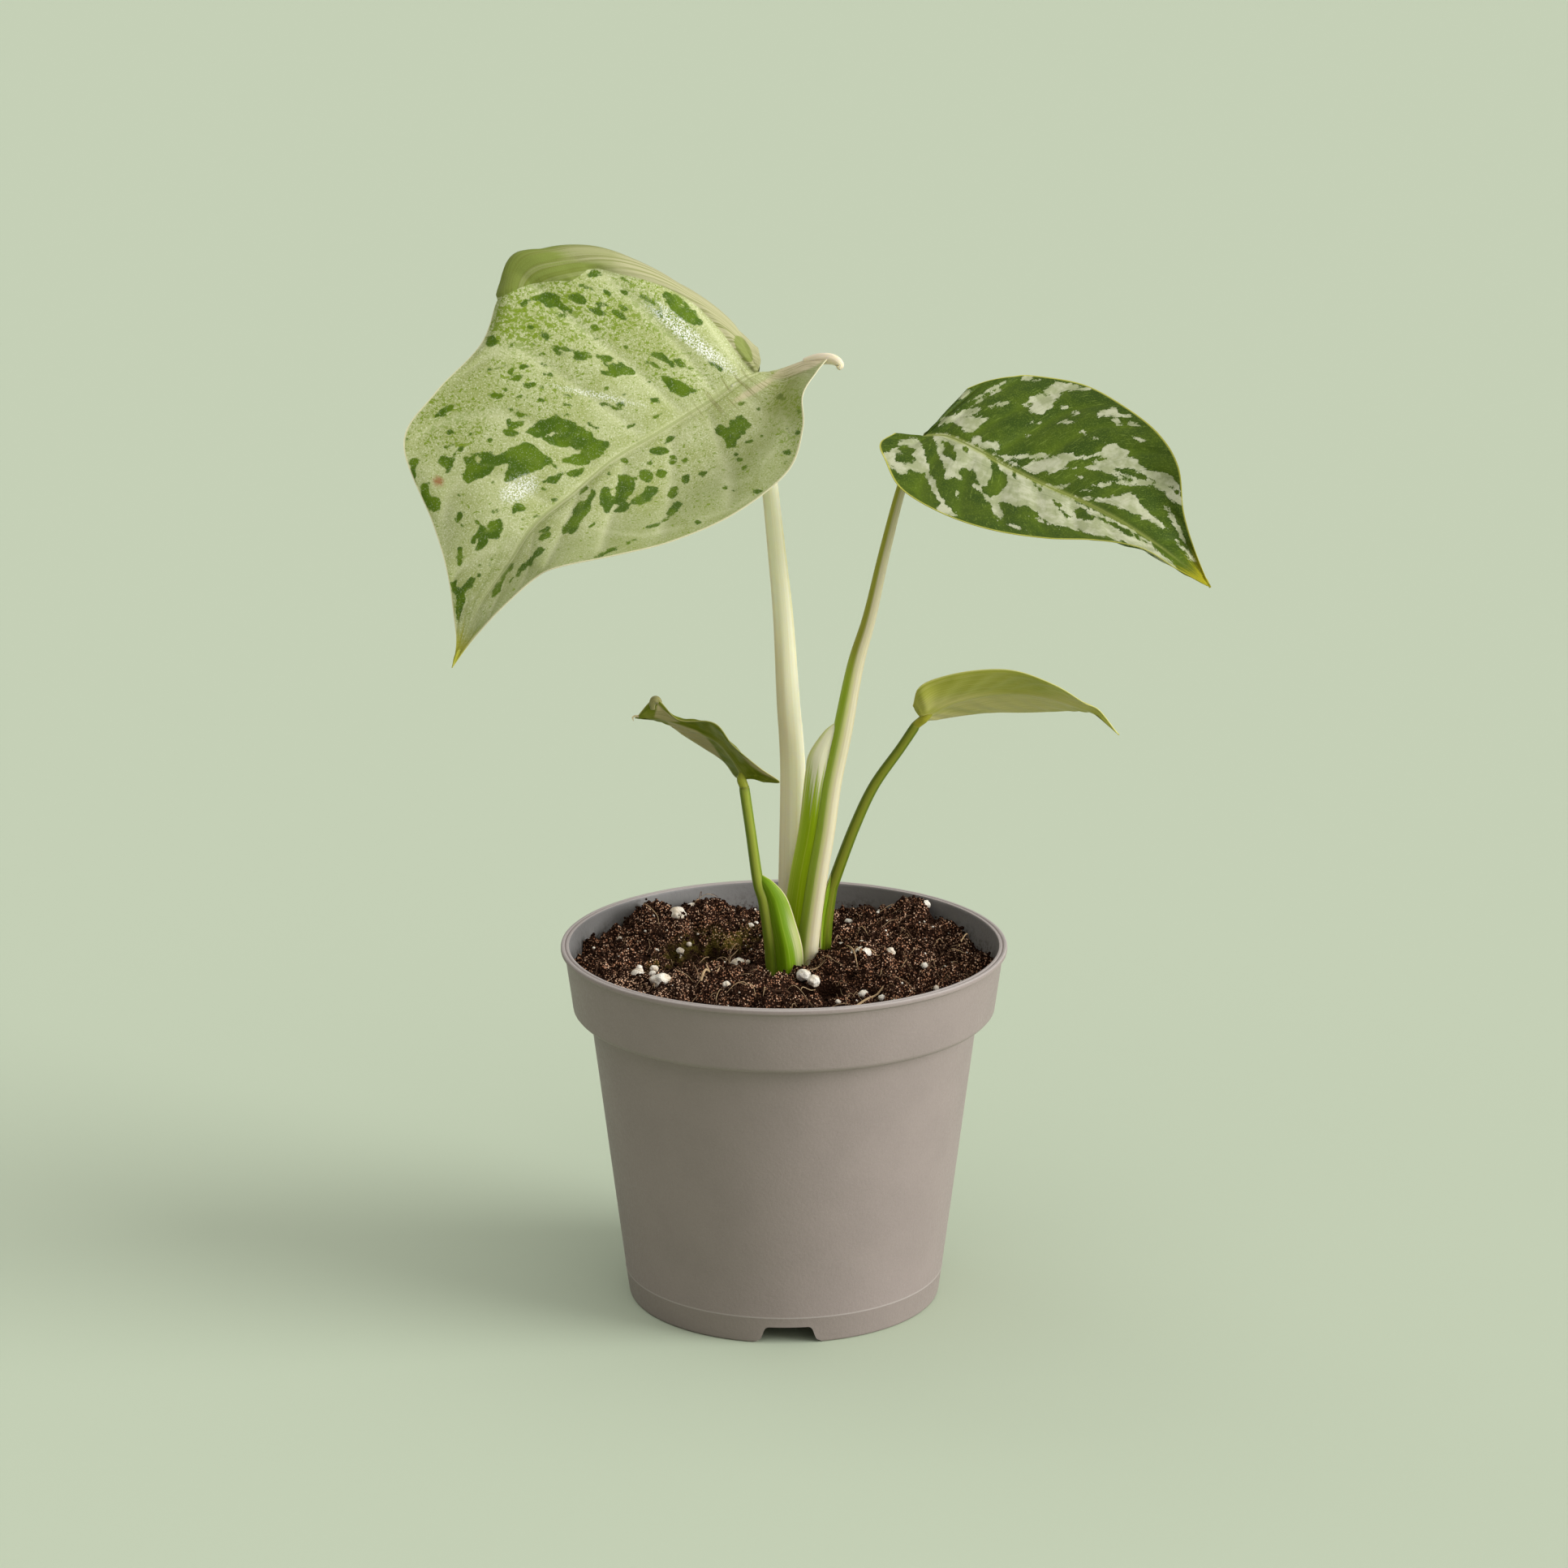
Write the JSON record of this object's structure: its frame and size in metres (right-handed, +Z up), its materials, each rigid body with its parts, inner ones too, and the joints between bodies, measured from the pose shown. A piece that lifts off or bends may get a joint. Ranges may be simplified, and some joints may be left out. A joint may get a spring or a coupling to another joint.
{
  "type": "potted monstera",
  "caption": "Young variegated monstera with mottled cream and green heart-shaped leaves, standing in soil in a small tapered plastic pot with a rim band.",
  "frame": {"origin": "centre of the base of the whole part's box, on the floor under the pot", "axes": "+Z up along the pot's axis, -Y the front, towards the camera of the picture; the large leaf points to -X"},
  "size_m": [0.2086, 0.12, 0.283],
  "materials": {
    "pot": "matte, finely grained",
    "soil": "crumbly and moist, with white grains",
    "stem_base": "smooth",
    "petiole_large": "satin, finely ribbed lengthwise",
    "petiole_right": "satin, finely ribbed lengthwise",
    "petiole_small_left": "satin, finely ribbed lengthwise",
    "petiole_small_right": "satin, finely ribbed lengthwise",
    "blade_large": "satin, finely grained",
    "blade_right": "satin, finely grained",
    "blade_small_left": "satin",
    "blade_small_right": "satin"
  },
  "bodies": {
    "root": {"pot": "pot", "soil": "soil", "stem_base": "stem_base", "petiole_large": "petiole_large", "petiole_right": "petiole_right", "petiole_small_left": "petiole_small_left", "petiole_small_right": "petiole_small_right", "blade_large": "blade_large", "blade_right": "blade_right", "blade_small_left": "blade_small_left", "blade_small_right": "blade_small_right"}
  },
  "joints": []
}
